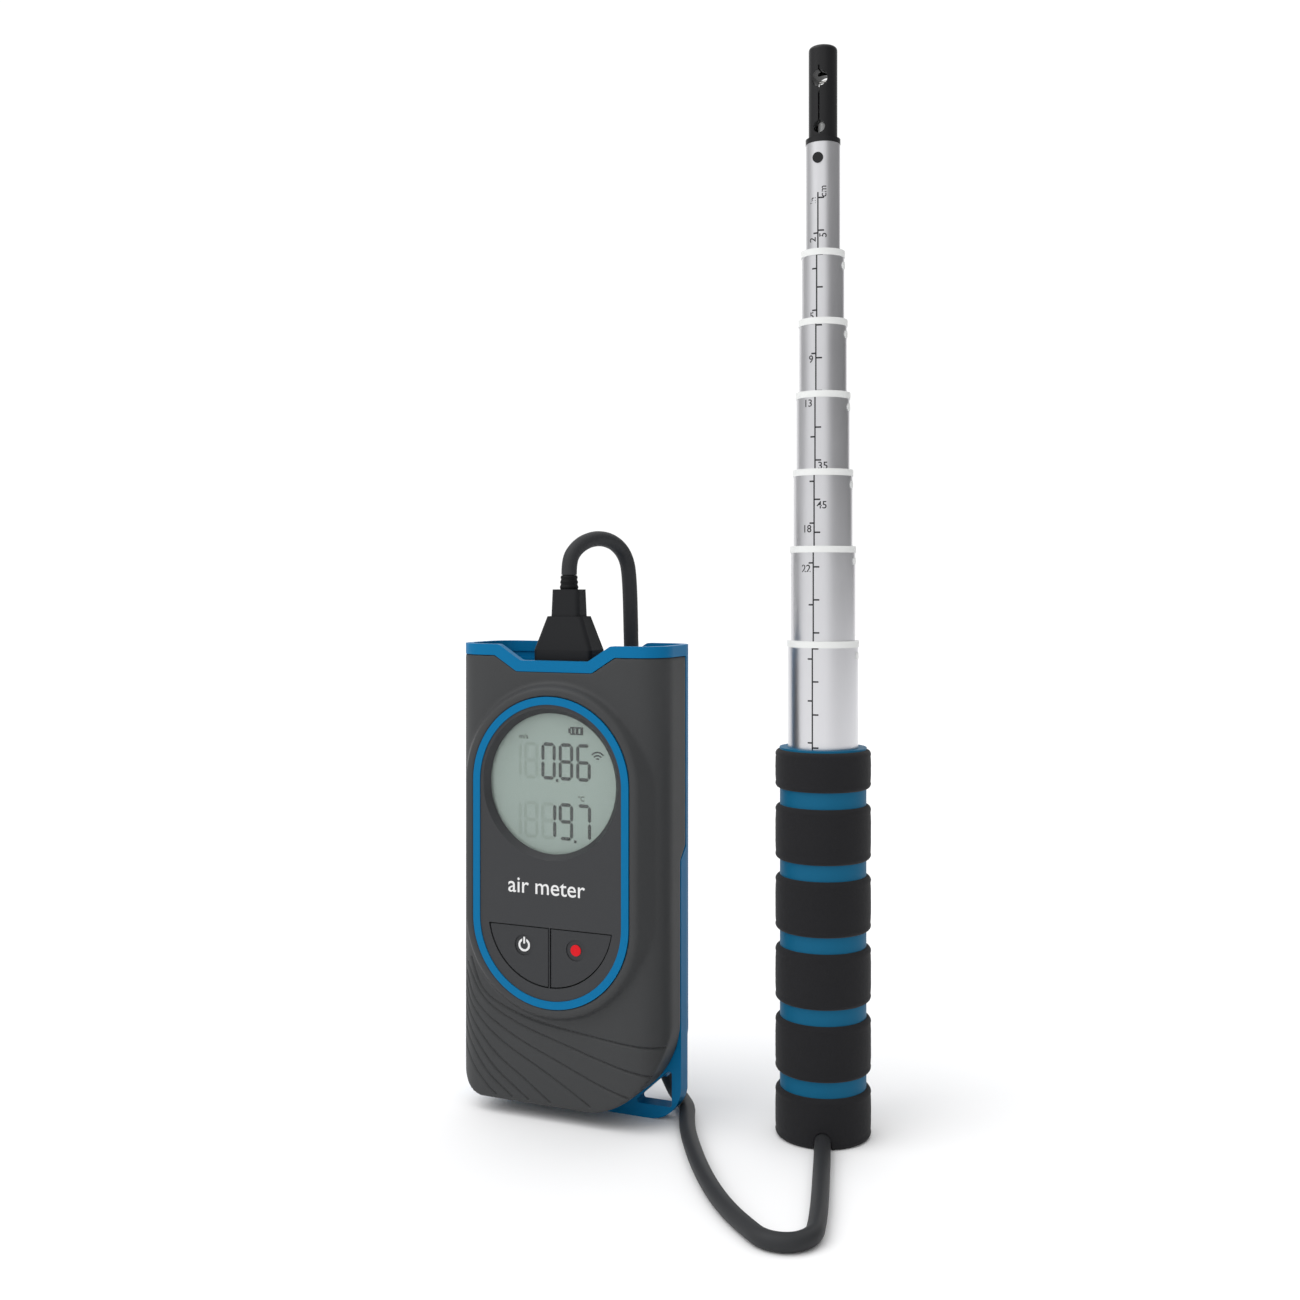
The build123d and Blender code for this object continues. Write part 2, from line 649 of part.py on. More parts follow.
def make_head_cap():
    cap = upright(HEAD_D / 2, HEAD_TOP - 5.5, HEAD_TOP)
    return fillet(cap.edges().sort_by(Axis.Z)[-1], 1.2)


def make_sensor_carrier():
    """Stem in the bore of the head that carries the two sensing elements."""
    return upright(1.5, TUBE_TOP[-1] - 8.0, HEAD_TOP - 15.0)


def make_hot_wire():
    """Heated element across the upper window."""
    z = HEAD_TOP - 15.0
    posts = [upright(0.25, z, z + 4.2, x, 0) for x in (-0.9, 0.9)]
    wire = Pos(0, 0, z + 4.4) * Rot(0, 90, 0) * Cylinder(0.4, 2.2)
    return posts[0] + posts[1] + wire


def make_head_screw():
    """Low screw that holds the head in the last tube."""
    outside = TUBE_D[-1] / 2
    return rod_y(HEAD_SCREW_D / 2, -outside - 0.3, -tube_bore(len(TUBE_D) - 1), 0, TUBE_TOP[-1] - 5.0)


# ---- writing the nodes --------------------------------------------------------------------------
def write_case():
    save(make_front_shell(), "front_shell", CASE_PLACE)
    save(make_back_shell(), "back_shell", CASE_PLACE)
    save(make_top_rim(), "top_rim", CASE_PLACE)
    save(make_accent_ring(), "accent_ring", CASE_PLACE)
    save(make_front_panel(), "front_panel", CASE_PLACE)
    save(make_key(-1), "power_key", CASE_PLACE)
    save(make_key(1), "record_key", CASE_PLACE)
    save(make_power_symbol(), "power_symbol", CASE_PLACE)
    save(make_record_dot(), "record_dot", CASE_PLACE)
    save(make_display_window(), "display_window", CASE_PLACE)
    save(make_lcd_module(), "lcd_module", CASE_PLACE)
    save(make_lcd_holder(), "lcd_holder", CASE_PLACE)
    save(make_contact_strips(), "contact_strips", CASE_PLACE)
    save(make_main_board(), "main_board", CASE_PLACE)
    save(make_board_chips(), "board_chips", CASE_PLACE)
    save(make_key_switches(), "key_switches", CASE_PLACE)
    save(make_probe_socket(), "probe_socket", CASE_PLACE)
    save(make_battery_tray(), "battery_tray", CASE_PLACE)
    save(make_batteries(), "batteries", CASE_PLACE)
    save(make_battery_contacts(), "battery_contacts", CASE_PLACE)
    save(make_battery_cover(), "battery_cover", CASE_PLACE)
    save(make_case_screws(), "case_screws", CASE_PLACE)
    save(make_plug_hood(), "plug_hood", CASE_PLACE)
    save(make_plug_contact(), "plug_contact", CASE_PLACE)
    save(make_plug_strain_relief(), "plug_strain_relief", CASE_PLACE)


def write_wand():
    for i, (low, high) in enumerate(grip_bands()):
        save(make_grip_ring(low, high), f"grip_ring_{i + 1}", WAND_PLACE)
    save(make_handle_core(), "handle_core", WAND_PLACE)
    save(make_handle_base(), "handle_base", WAND_PLACE)
    save(make_cord_gland(), "cord_gland", WAND_PLACE)
    for i in range(len(TUBE_D)):
        name = "outer_tube" if i == 0 else f"tube_{i}"
        save(make_tube_stage(i), name, WAND_PLACE)
    for i in range(len(TUBE_D) - 1):
        save(make_collar(i), f"collar_{i}", WAND_PLACE)
    for i in range(1, len(TUBE_D)):
        save(make_bush(i), f"guide_bush_{i}", WAND_PLACE)
    save(make_sensor_head(), "sensor_head", WAND_PLACE)
    save(make_head_cap(), "head_cap", WAND_PLACE)
    save(make_sensor_carrier(), "sensor_carrier", WAND_PLACE)
    save(make_hot_wire(), "hot_wire", WAND_PLACE)
    save(make_head_screw(), "head_screw", WAND_PLACE)


write_case()
write_wand()
save(make_tube(wand_cord_route(), CORD_D, "cord"), "wand_cord")
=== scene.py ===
"""Looks of the handheld weather meter: the cord, the foam grips, the display's segments, the scale
printed on the tubes, the grooves in the front shell, and every material. Metres, in the row frame."""

import math

import bmesh
import bpy
from mathutils import Matrix, Vector, noise
from mathutils.bvhtree import BVHTree
from mathutils.kdtree import KDTree


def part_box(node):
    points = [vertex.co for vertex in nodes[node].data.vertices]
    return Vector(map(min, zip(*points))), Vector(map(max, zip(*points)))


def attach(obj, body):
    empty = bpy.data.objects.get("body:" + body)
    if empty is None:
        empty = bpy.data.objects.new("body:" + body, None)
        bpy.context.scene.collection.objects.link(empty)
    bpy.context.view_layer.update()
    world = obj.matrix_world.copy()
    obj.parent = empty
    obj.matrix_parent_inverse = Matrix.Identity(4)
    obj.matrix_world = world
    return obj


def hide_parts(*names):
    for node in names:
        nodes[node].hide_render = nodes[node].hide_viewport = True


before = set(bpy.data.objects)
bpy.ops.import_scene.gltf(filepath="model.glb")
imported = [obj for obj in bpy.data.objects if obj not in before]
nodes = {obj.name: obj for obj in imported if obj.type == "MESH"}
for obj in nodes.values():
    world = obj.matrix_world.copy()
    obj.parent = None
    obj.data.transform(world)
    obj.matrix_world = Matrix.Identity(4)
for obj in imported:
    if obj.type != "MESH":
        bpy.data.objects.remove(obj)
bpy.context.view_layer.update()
MM = 0.001


# ---- places, from the frame ---------------------------------------------------------------------
def middle(node):
    low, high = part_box(node)
    return (low + high) / 2


CASE_HALF = 16.5 * MM                     # from the ring's front to the middle of the case
CASE = middle("accent_ring")              # case middle in x; the ring's middle in z
RING_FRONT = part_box("accent_ring")[0].y
CASE_Y = RING_FRONT + CASE_HALF           # middle of the case in y
WAND = middle("outer_tube")
LCD = middle("lcd_module")
LCD_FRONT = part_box("lcd_module")[0].y
GLAND_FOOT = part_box("cord_gland")[0].z
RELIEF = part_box("plug_strain_relief")
CORD_D = 5.0 * MM
CORD_LAY = CORD_D / 2 + 0.05 * MM         # height of the cord's middle over the floor
CORD_TURN = 5.0 * MM                      # height at which it turns up inside the handle's foot
CORD_AZIMUTH = 16.5                       # where it leaves the handle, in degrees round from the front
TUBES = ["outer_tube", "tube_1", "tube_2", "tube_3", "tube_4", "tube_5", "tube_6"]


# ---- camera -------------------------------------------------------------------------------------
camera_data = bpy.data.cameras.new("camera")
camera_data.sensor_width = 36.0
camera_data.lens = 41.26
camera_data.shift_y = -0.0538
camera = bpy.data.objects.new("camera", camera_data)
camera.location = (0.1893, -0.4350, 0.171)
camera.rotation_euler = (math.radians(90), 0, math.radians(24))
bpy.context.scene.collection.objects.link(camera)
bpy.context.scene.camera = camera


# ---- the cord -----------------------------------------------------------------------------------
def cord_route():
    """From the gland in the handle's foot, over the floor, up behind the case and into the plug."""
    floor_run = [
        (82.6, 4.2), (85.3, -4.6), (88.2, -14.2), (91.1, -24.2), (94.1, -34.4), (97.0, -44.6),
        (99.6, -54.6), (101.3, -63.0), (97.3, -69.2), (89.9, -69.9), (83.8, -64.7), (77.0, -58.4),
        (70.0, -50.4), (63.2, -41.2), (56.5, -31.0), (50.0, -20.0), (43.7, -8.6), (38.8, 2.4),
        (36.2, 9.8), (31.6, 16.4),
    ]
    rise = [
        (26.4, 21.4, 3.6), (21.2, 24.4, 10.6), (14.8, 24.0, 27.0), (12.6, 23.5, 46.0),
        (11.4, 23.3, 72.0), (10.8, 23.3, 100.0), (10.4, 23.4, 128.0), (10.0, 23.3, 150.0),
        (9.6, 23.0, 172.0), (9.0, 21.3, 179.0), (7.2, 16.6, 183.4), (4.8, 10.2, 184.9),
        (2.4, 3.8, 183.6), (0.6, -0.9, 180.2), (0.0, -2.6, 176.5), (0.0, -2.6, 172.7),
    ]
    points = [Vector((WAND.x, WAND.y, GLAND_FOOT)), Vector((WAND.x, WAND.y, CORD_TURN))]
    points += [Vector((CASE.x + x * MM, CASE_Y + y * MM, CORD_LAY)) for x, y in floor_run]
    points += [Vector((CASE.x + x * MM, CASE_Y + y * MM, z * MM)) for x, y, z in rise]
    return points


def make_cord():
    """A curve whose points carry the cord's radius, so that its box fits it."""
    data = bpy.data.curves.new("cord", "CURVE")
    data.dimensions = "3D"
    data.resolution_u = 10
    data.bevel_depth = 1.0
    data.bevel_resolution = 8
    data.use_fill_caps = True
    points = cord_route()
    spline = data.splines.new("NURBS")
    spline.points.add(len(points) - 1)
    for point, place in zip(spline.points, points):
        point.co = (*place, 1.0)
        point.radius = CORD_D / 2
    spline.order_u = 3
    spline.use_endpoint_u = True
    cord = bpy.data.objects.new("cord", data)
    bpy.context.scene.collection.objects.link(cord)
    return cord


cord = make_cord()
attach(cord, "base")
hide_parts("wand_cord")


# ---- materials ----------------------------------------------------------------------------------
def linear(r, g, b):
    """A colour given as seen on a screen, 0 to 255, as linear light."""
    values = [c / 255 for c in (r, g, b)]
    return tuple(c / 12.92 if c <= 0.04045 else ((c + 0.055) / 1.055) ** 2.4 for c in values)


PATCHES = 60.0                            # broad patches of tint in a metre


def material(name, color, rough, metal=0.0, grain=0.4, depth=0.0, mottle=0.06, stretch=(1, 1, 1),
             spread=0.08, specular=0.35, sheen=0.0, coat=0.0):
    """Plastic, metal or foam with a grain of the given size in mm, bump depth in mm, uneven tint and
    uneven roughness."""
    mat = bpy.data.materials.new(name)
    mat.use_nodes = True
    tree = mat.node_tree
    shader = tree.nodes["Principled BSDF"]
    shader.inputs["Metallic"].default_value = metal
    shader.inputs["Specular IOR Level"].default_value = specular
    shader.inputs["Sheen Weight"].default_value = sheen
    shader.inputs["Coat Weight"].default_value = coat
    place = tree.nodes.new("ShaderNodeTexCoord")
    mapping = tree.nodes.new("ShaderNodeMapping")
    mapping.inputs["Scale"].default_value = stretch
    fine = tree.nodes.new("ShaderNodeTexNoise")
    fine.inputs["Scale"].default_value = 1 / (grain * MM)
    fine.inputs["Detail"].default_value = 3
    broad = tree.nodes.new("ShaderNodeTexNoise")
    broad.inputs["Scale"].default_value = PATCHES
    broad.inputs["Detail"].default_value = 4
    tree.links.new(place.outputs["Object"], mapping.inputs["Vector"])
    tree.links.new(mapping.outputs["Vector"], fine.inputs["Vector"])
    tree.links.new(place.outputs["Object"], broad.inputs["Vector"])
    both = tree.nodes.new("ShaderNodeMath")
    both.operation = "MULTIPLY_ADD"
    both.inputs[1].default_value = 0.5
    tree.links.new(fine.outputs["Fac"], both.inputs[0])
    half = tree.nodes.new("ShaderNodeMath")
    half.operation = "MULTIPLY"
    half.inputs[1].default_value = 0.5
    tree.links.new(broad.outputs["Fac"], half.inputs[0])
    tree.links.new(half.outputs["Value"], both.inputs[2])
    tint = tree.nodes.new("ShaderNodeMix")
    tint.data_type = "RGBA"
    tint.inputs["A"].default_value = (*[c * (1 - mottle) for c in color], 1)
    tint.inputs["B"].default_value = (*[min(1, c * (1 + mottle)) for c in color], 1)
    tree.links.new(both.outputs["Value"], tint.inputs["Factor"])
    tree.links.new(tint.outputs["Result"], shader.inputs["Base Color"])
    uneven = tree.nodes.new("ShaderNodeMapRange")
    uneven.inputs["To Min"].default_value = max(0.02, rough - spread)
    uneven.inputs["To Max"].default_value = min(1.0, rough + spread)
    tree.links.new(both.outputs["Value"], uneven.inputs["Value"])
    tree.links.new(uneven.outputs["Result"], shader.inputs["Roughness"])
    if depth:
        bump = tree.nodes.new("ShaderNodeBump")
        bump.inputs["Distance"].default_value = depth * MM
        bump.inputs["Strength"].default_value = 1.0
        tree.links.new(fine.outputs["Fac"], bump.inputs["Height"])
        tree.links.new(bump.outputs["Normal"], shader.inputs["Normal"])
    return mat


def glass(name, alpha, rough):
    """A thin clear window: mostly see-through, with a faint uneven gloss."""
    mat = material(name, (0.9, 0.95, 0.93), rough, grain=6.0, spread=0.03, specular=0.5)
    mat.node_tree.nodes["Principled BSDF"].inputs["Alpha"].default_value = alpha
    return mat


SHELL = material("shell_charcoal", linear(57, 58, 59), 0.52, grain=0.45, depth=0.012, mottle=0.05,
                 specular=0.24)
PANEL = material("panel_charcoal", linear(54, 55, 57), 0.44, grain=0.5, depth=0.008, mottle=0.05,
                 specular=0.22)
KEYS = material("key_charcoal", linear(52, 53, 55), 0.50, grain=0.5, depth=0.010, mottle=0.05,
                specular=0.22)
BLUE = material("trim_blue", linear(2, 104, 152), 0.42, grain=0.5, depth=0.006, mottle=0.04,
                specular=0.10)
# The handle core's own blue, darkened with painted shade from the grooves between the foam rings.
CORE_BLUE_PAINTED_SHADE = material("core_blue", linear(12, 90, 124), 0.50, grain=0.5, depth=0.008, mottle=0.05,
                     specular=0.12)
WHITE = material("symbol_white", (0.72, 0.72, 0.72), 0.5, mottle=0.02)
RED = material("symbol_red", linear(206, 18, 30), 0.45, mottle=0.04, specular=0.15)
WINDOW = glass("display_clear", 0.05, 0.10)
LCD_FACE = material("display_face", linear(132, 147, 140), 0.60, grain=0.15, mottle=0.03,
                    spread=0.05, specular=0.15)
SEGMENT = material("segment_dark", linear(10, 20, 20), 0.50, grain=0.2, mottle=0.05, specular=0.1)
GHOST = material("segment_ghost", linear(121, 135, 128), 0.60, grain=0.2, mottle=0.02, specular=0.15)
INNER = material("inner_plastic", (0.62, 0.62, 0.60), 0.5, mottle=0.04)
STRIP = material("contact_rubber", (0.16, 0.13, 0.15), 0.7, grain=0.3, mottle=0.1)
BOARD = material("board_green", (0.02, 0.16, 0.07), 0.4, grain=1.5, mottle=0.15, coat=0.3)
CHIP = material("chip_black", (0.02, 0.02, 0.022), 0.5, grain=0.2, depth=0.004)
CONTACT = material("contact_metal", (0.78, 0.74, 0.62), 0.28, metal=1.0, grain=0.8, mottle=0.05)
LABEL = material("cell_label", (0.05, 0.12, 0.30), 0.35, grain=2.0, mottle=0.08)
SCREW = material("screw_steel", (0.30, 0.30, 0.31), 0.35, metal=1.0, grain=0.3, depth=0.004)
CORD = material("cord_black", linear(45, 46, 48), 0.55, grain=0.35, depth=0.012, mottle=0.08,
                specular=0.22)
PLUG = material("plug_black", linear(24, 25, 27), 0.50, grain=0.35, depth=0.010, mottle=0.06,
                specular=0.20)
RELIEF_MAT = material("relief_black", linear(14, 15, 16), 0.60, grain=0.35, depth=0.010,
                      specular=0.15)
FOAM = material("foam_black", linear(34, 34, 36), 0.95, grain=0.35, depth=0.06, mottle=0.22,
                spread=0.04, specular=0.10, sheen=0.08)
ALUMINIUM = material("tube_aluminium", (0.66, 0.66, 0.68), 0.30, metal=1.0, grain=0.25, depth=0.002,
                     mottle=0.04, stretch=(1, 1, 0.04), spread=0.06)
COLLAR = material("collar_white", (0.74, 0.75, 0.74), 0.42, grain=0.5, mottle=0.02)
BUSH = material("bush_plastic", (0.55, 0.55, 0.53), 0.5, mottle=0.04)
HEAD = material("head_black", linear(20, 20, 22), 0.38, grain=0.3, depth=0.004, mottle=0.08,
                specular=0.28)
SENSOR = material("sensor_metal", (0.80, 0.79, 0.76), 0.3, metal=1.0, grain=0.3)
PRINT = material("scale_print", linear(46, 46, 48), 0.6, grain=0.15, mottle=0.12, specular=0.2)


def paint(obj, mat):
    obj.data.materials.clear()
    obj.data.materials.append(mat)


FINISHES = [
    (SHELL, "front_shell"),
    (BLUE, "back_shell top_rim accent_ring"),
    (SHELL, "battery_cover"),
    (PANEL, "front_panel"),
    (KEYS, "power_key record_key"),
    (WHITE, "power_symbol"),
    (RED, "record_dot"),
    (WINDOW, "display_window"),
    (LCD_FACE, "lcd_module"),
    (INNER, "lcd_holder battery_tray probe_socket"),
    (STRIP, "contact_strips"),
    (BOARD, "main_board"),
    (CHIP, "board_chips key_switches"),
    (LABEL, "batteries"),
    (CONTACT, "battery_contacts plug_contact"),
    (SCREW, "case_screws"),
    (HEAD, "head_screw"),
    (PLUG, "plug_hood cord_gland handle_base"),
    (CORE_BLUE_PAINTED_SHADE, "handle_core"),
    (ALUMINIUM, " ".join(TUBES)),
    (COLLAR, " ".join(f"collar_{i}" for i in range(6))),
    (BUSH, " ".join(f"guide_bush_{i}" for i in range(1, 7))),
    (HEAD, "sensor_head head_cap"),
    (COLLAR, "sensor_carrier"),
    (SENSOR, "hot_wire"),
]
for finish, names in FINISHES:
    for name in names.split():
        paint(nodes[name], finish)
paint(cord, CORD)


# ---- mesh helpers -------------------------------------------------------------------------------
def add_mesh(name, verts, faces, mat, body, angle=35):
    """A new mesh piece that rides on a body, smooth except over sharp edges."""
    data = bpy.data.meshes.new(name)
    data.from_pydata(verts, [], faces)
    obj = bpy.data.objects.new(name, data)
    bpy.context.scene.collection.objects.link(obj)
    smooth(data, angle)
    paint(obj, mat)
    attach(obj, body)
    return obj


def smooth(data, angle):
    data.polygons.foreach_set("use_smooth", [True] * len(data.polygons))
    data.set_sharp_from_angle(angle=math.radians(angle))


def lathe(profile, centre, steps):
    """Vertices and faces of a closed profile of (radius, height) turned about an upright axis."""
    verts = []
    for k in range(steps):
        turn = 2 * math.pi * k / steps
        verts += [(centre.x + r * math.cos(turn), centre.y + r * math.sin(turn), z) for r, z in profile]
    n = len(profile)
    faces = []
    for k in range(steps):
        near, far = k * n, (k + 1) % steps * n
        faces += [(near + i, far + i, far + (i + 1) % n, near + (i + 1) % n) for i in range(n)]
    return verts, faces


def applied_mesh(obj):
    """The object's mesh with its modifiers applied."""
    graph = bpy.context.evaluated_depsgraph_get()
    return bpy.data.meshes.new_from_object(obj.evaluated_get(graph))


def subtract(obj, cutter):
    """Cut one mesh out of another and drop the cutter."""
    change = obj.modifiers.new("cut", "BOOLEAN")
    change.operation = "DIFFERENCE"
    change.solver = "EXACT"
    change.object = cutter
    result = applied_mesh(obj)
    obj.modifiers.clear()
    obj.data = result
    bpy.data.objects.remove(cutter)


# ---- foam grips ---------------------------------------------------------------------------------
FOAM_BORE = 11.9 * MM
FOAM_CORNER = 1.5 * MM
FOAM_CROWN = 0.22 * MM
FOAM_ROW = 0.8 * MM                       # height of a row of faces
FOAM_LUMPS = 0.07 * MM                    # depth of the uneven skin
FOAM_STEPS = 160                          # faces round a ring
NOTCH_W = 5.5 * MM
NOTCH_H = 5.3 * MM
NOTCH_LONG = 20 * MM
NOTCH_OUT = 12 * MM                       # from the wand's axis to the notch's middle


def foam_profile(low, high, inner, outer, corner):
    """Closed outline of a foam ring: soft shoulders and a slightly crowned side."""
    points = [(inner, low), (inner, high)]
    arc = 7
    for i in range(arc):
        turn = math.pi / 2 * (1 - i / (arc - 1))
        points.append((outer - corner + corner * math.cos(turn), high - corner + corner * math.sin(turn)))
    rows = max(4, int((high - low) / FOAM_ROW))
    for i in range(1, rows):
        step = i / rows
        crown = FOAM_CROWN * (1 - (2 * step - 1) ** 4)
        points.append((outer + crown - FOAM_CROWN, high - corner - step * (high - low - 2 * corner)))
    for i in range(arc):
        turn = -math.pi / 2 * i / (arc - 1)
        points.append((outer - corner + corner * math.cos(turn), low + corner + corner * math.sin(turn)))
    return points


def roughen(data, centre, limit, depth):
    """Uneven foam skin, never outside the ring's own radius."""
    for vertex in data.vertices:
        away = Vector((vertex.co.x - centre.x, vertex.co.y - centre.y, 0))
        if away.length > limit * 0.93:
            lump = noise.noise(vertex.co * 900) * 0.6 + noise.noise(vertex.co * 2200) * 0.4
            shift = away.normalized() * (lump - 0.8) * depth
            vertex.co += shift


def notch_cutter():
    """The way out for the cord, under the lowest ring, turned towards where the cord goes."""
    data = bpy.data.meshes.new("notch")
    shape = bmesh.new()
    bmesh.ops.create_cube(shape, size=1.0)
    bmesh.ops.bevel(
        shape, geom=[e for e in shape.edges if abs(e.verts[0].co.y - e.verts[1].co.y) > 0.5],
        offset=0.4, segments=8, affect="EDGES", profile=0.5,
    )
    size = Matrix.Diagonal((NOTCH_W, NOTCH_LONG, 2 * NOTCH_H, 1))
    turn = Matrix.Rotation(math.radians(CORD_AZIMUTH), 4, "Z")
    out = Matrix.Translation((0, -NOTCH_OUT, 0))
    to_wand = Matrix.Translation((WAND.x, WAND.y, 0))
    shape.transform(to_wand @ turn @ out @ size)
    shape.to_mesh(data)
    shape.free()
    cutter = bpy.data.objects.new("notch", data)
    bpy.context.scene.collection.objects.link(cutter)
    return cutter


def make_foam_grip(i):
    """One foam ring over the handle; the lowest lets the cord out."""
    low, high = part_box(f"grip_ring_{i}")
    radius = (high.x - low.x) / 2
    profile = foam_profile(low.z, high.z, FOAM_BORE, radius, FOAM_CORNER)
    verts, faces = lathe(profile, WAND, FOAM_STEPS)
    ring = add_mesh(f"foam_grip_{i}", verts, faces, FOAM, "base")
    roughen(ring.data, WAND, radius, FOAM_LUMPS)
    if i == 1:
        subtract(ring, notch_cutter())
        smooth(ring.data, 35)
    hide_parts(f"grip_ring_{i}")


for i in range(1, 7):
    make_foam_grip(i)


# ---- strain relief of the plug ------------------------------------------------------------------
RELIEF_BORE = 0.5 * MM
RELIEF_R = 3.05 * MM
RELIEF_TAPER = 0.35 * MM
RELIEF_LIP = 0.35 * MM                    # step back at the top
RELIEF_RIB = 0.22 * MM
RELIEF_ROWS = 40


def relief_profile():
    """Tapered, ribbed outline from the hood's neck to the cord."""
    low, high = RELIEF[0].z, RELIEF[1].z
    points = [(RELIEF_BORE, low), (RELIEF_BORE, high)]
    for i in range(RELIEF_ROWS + 1):
        step = i / RELIEF_ROWS
        taper = RELIEF_R - RELIEF_TAPER * (1 - step)
        rib = RELIEF_RIB * (0.5 + 0.5 * math.cos(6 * math.pi * step))
        points.append((taper - RELIEF_LIP * (step < 0.04) - rib, high - step * (high - low)))
    return points


relief_centre = (RELIEF[0] + RELIEF[1]) / 2
verts, faces = lathe(relief_profile(), relief_centre, 64)
relief = add_mesh("cord_relief", verts, faces, RELIEF_MAT, "base")
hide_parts("plug_strain_relief")


# ---- display ------------------------------------------------------------------------------------
INK = 0.03 * MM                           # thickness of a printed mark
SEGMENT_ENDS = {
    "a": ((0, 2), (1, 2)), "b": ((1, 2), (1, 1)), "c": ((1, 1), (1, 0)), "d": ((0, 0), (1, 0)),
    "e": ((0, 1), (0, 0)), "f": ((0, 2), (0, 1)), "g": ((0, 1), (1, 1)),
}
DIGITS = {
    "0": "abcdef", "1": "bc", "2": "abged", "6": "afgedc", "7": "abc", "8": "abcdefg", "9": "abcdfg",
}
DIGIT_W = 4.0                             # the display's sizes and places are in mm
DIGIT_H = 10.6
STROKE = 1.1
STROKE_GAP = 0.12


def digit_outlines(digit, x, z):
    """Six-sided outlines, in mm from the display's middle, of one digit about x, from z upwards."""
    outlines = []
    for name in DIGITS[digit]:
        (i0, k0), (i1, k1) = SEGMENT_ENDS[name]
        a = Vector((x + (i0 - 0.5) * DIGIT_W, z + STROKE / 2 + k0 * (DIGIT_H / 2)))
        b = Vector((x + (i1 - 0.5) * DIGIT_W, z + STROKE / 2 + k1 * (DIGIT_H / 2)))
        along = (b - a).normalized()
        across = Vector((-along.y, along.x)) * STROKE / 2
        a += along * STROKE_GAP
        b -= along * STROKE_GAP
        tip = along * STROKE / 2
        outlines.append([a, a + tip + across, b - tip + across, b, b - tip - across, a + tip - across])
    return outlines


def bar(x0, x1, z0, z1):
    return [Vector((x0, z0)), Vector((x1, z0)), Vector((x1, z1)), Vector((x0, z1))]


def arc_outline(x, z, radius, width, start, end):
    """A curved stroke, angles in degrees from the right."""
    turns = [math.radians(start + (end - start) * i / 10) for i in range(11)]
    outer = [Vector((x + radius * math.cos(t), z + radius * math.sin(t))) for t in turns]
    inner = [Vector((x + (radius - width) * math.cos(t), z + (radius - width) * math.sin(t)))
             for t in reversed(turns)]
    return outer + inner


def plates(name, outlines, place, mat, body):
    """Thin plates from outlines in mm, drawn as seen from the front, standing off the surface."""
    verts, faces = [], []
    for outline in outlines:
        start, n = len(verts), len(outline)
        verts += [(place.x + p.x * MM, place.y - INK, place.z + p.y * MM) for p in outline]
        verts += [(place.x + p.x * MM, place.y, place.z + p.y * MM) for p in outline]
        faces.append(tuple(range(start, start + n)))
        pairs = [(start + i, start + (i + 1) % n) for i in range(n)]
        faces += [(i, j, n + j, n + i) for i, j in pairs]
    return add_mesh(name, verts, faces, mat, body)


def lettering(text, size, x, z, weight=0.012):
    """Verts and faces of a word, centred on (x, z) in mm, size in mm; weight thickens its strokes."""
    font = bpy.data.curves.new("letters", "FONT")
    font.body = text
    font.size = size
    font.align_x = "CENTER"
    font.align_y = "CENTER"
    font.resolution_u = 4
    font.offset = weight
    holder = bpy.data.objects.new("letters", font)
    bpy.context.scene.collection.objects.link(holder)
    data = applied_mesh(holder)
    verts = [(x + v.co.x, z + v.co.y) for v in data.vertices]
    faces = [tuple(p.vertices) for p in data.polygons]
    bpy.data.objects.remove(holder)
    return verts, faces


def letters_on_plane(name, words, place, mat, body, weight):
    verts, faces = [], []
    for text, size, x, z in words:
        flat, polygons = lettering(text, size, x, z, weight)
        start = len(verts)
        verts += [(place.x + u * MM, place.y - INK, place.z + v * MM) for u, v in flat]
        faces += [tuple(start + i for i in polygon) for polygon in polygons]
    return add_mesh(name, verts, faces, mat, body)


ROW_1 = 1.1                               # foot of each row of digits, from the display's middle
ROW_2 = -17.7
UNLIT_BEHIND = 0.012 * MM                 # the unlit segments lie this much deeper


def row_of_digits(digits, row):
    """Outlines of the digits of one row, each given with its middle in x."""
    return [outline for digit, x in digits for outline in digit_outlines(digit, x, row)]


def decimal_point(x, row):
    return bar(x, x + 0.9, row - 0.6, row + 0.3)


def battery_sign(x, z):
    """A battery lying on its side, with three cells lit."""
    case = [
        bar(x - 2.3, x + 2.3, z + 0.75, z + 1.25),
        bar(x - 2.3, x + 2.3, z - 1.25, z - 0.75),
        bar(x - 2.9, x - 2.0, z - 0.75, z + 0.75),
    ]
    return case + [bar(x + s, x + s + 1.0, z - 0.8, z + 0.8) for s in (-1.7, -0.35, 1.3)]


def radio_sign(x, z):
    """Three arcs above each other."""
    return [arc_outline(x, z - 1.4, radius, 0.5, 40, 140) for radius in (0.9, 1.9, 2.9)]


